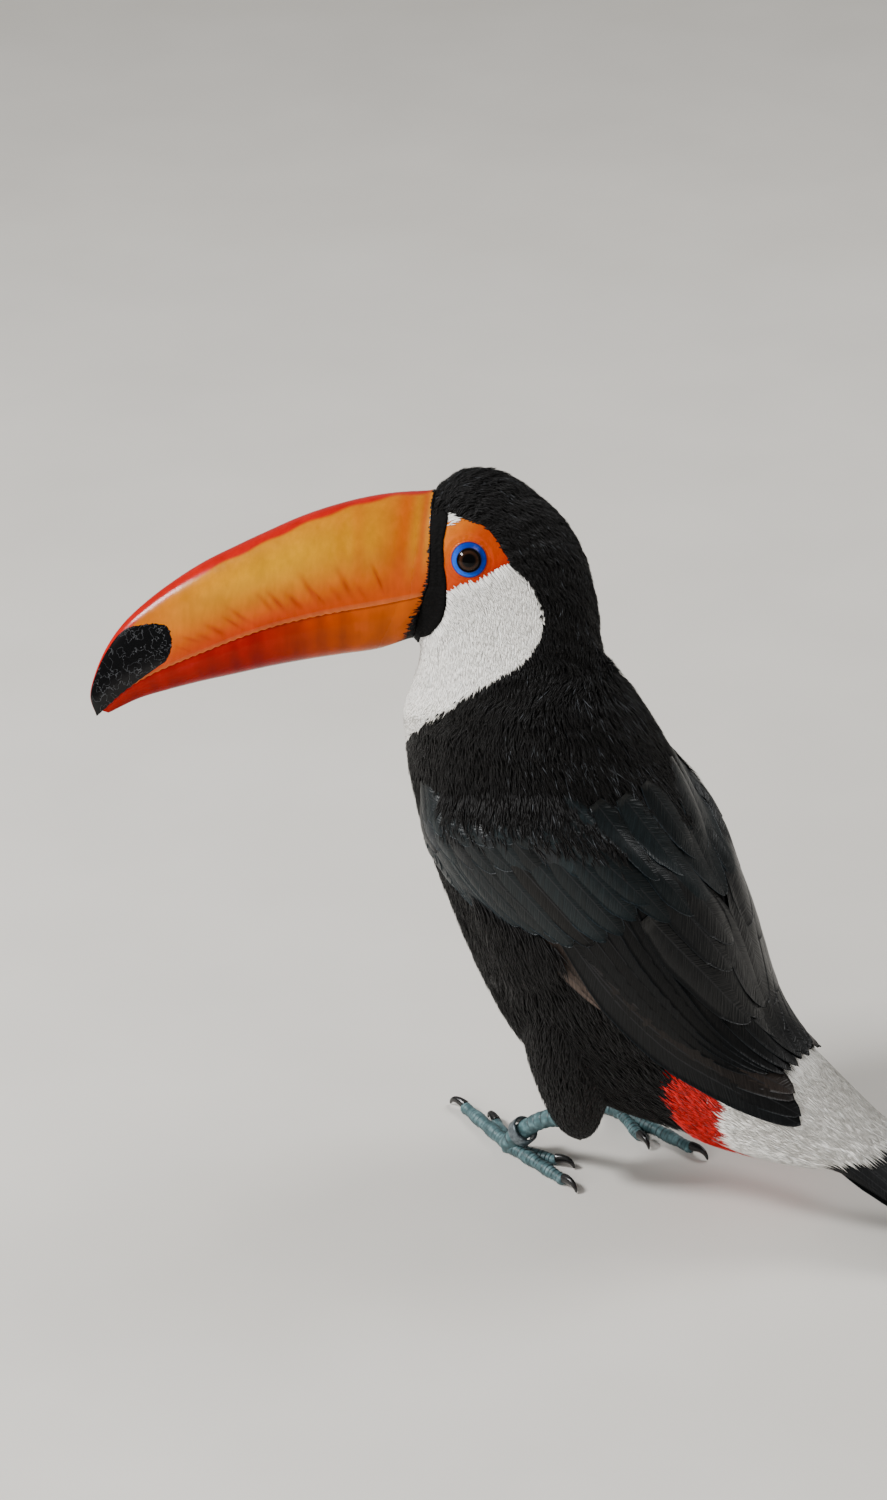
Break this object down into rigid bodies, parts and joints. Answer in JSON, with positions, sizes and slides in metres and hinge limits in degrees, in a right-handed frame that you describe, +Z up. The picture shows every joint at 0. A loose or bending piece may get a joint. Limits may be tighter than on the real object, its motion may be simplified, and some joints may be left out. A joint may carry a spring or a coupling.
{
  "type": "toco toucan",
  "caption": "Life-size toco toucan squatting on its feet, head turned to its left, with a long deep orange bill with a black tip, white throat and rump, folded dark wings and a plain leg ring",
  "frame": {"origin": "on the floor under the middle of the model's box", "axes": "the bird faces -Y with its head turned to its left, its left side is +X, +Z is up"},
  "size_m": [0.1512, 0.4326, 0.3261],
  "materials": {
    "bill_orange": "gloss",
    "bill_red": "gloss",
    "plumage_black": "satin",
    "plumage_white": "matte",
    "plumage_wing": "satin",
    "leg_skin": "satin",
    "claw_horn": "gloss",
    "eye": "gloss",
    "ring": "satin"
  },
  "bodies": {
    "root": {"bill_lower": "bill_red", "bill_upper": "bill_orange", "claw_left_1": "claw_horn", "claw_left_2": "claw_horn", "claw_left_3": "claw_horn", "claw_left_4": "claw_horn", "claw_right_1": "claw_horn", "claw_right_2": "claw_horn", "claw_right_3": "claw_horn", "claw_right_4": "claw_horn", "eye_left": "eye", "eye_right": "eye", "head": "plumage_black", "leg_ring": "ring", "neck": "plumage_white", "rump": "plumage_white", "tail": "plumage_black", "tarsus_left": "leg_skin", "tarsus_right": "leg_skin", "thigh_left": "plumage_black", "thigh_right": "plumage_black", "toe_left_1": "leg_skin", "toe_left_2": "leg_skin", "toe_left_3": "leg_skin", "toe_left_4": "leg_skin", "toe_right_1": "leg_skin", "toe_right_2": "leg_skin", "toe_right_3": "leg_skin", "toe_right_4": "leg_skin", "trunk": "plumage_black", "wing_coverts_left": "plumage_wing", "wing_coverts_right": "plumage_wing", "wing_flight_left": "plumage_wing", "wing_flight_right": "plumage_wing", "wing_hand_left": "plumage_wing", "wing_hand_right": "plumage_wing"}
  },
  "joints": []
}
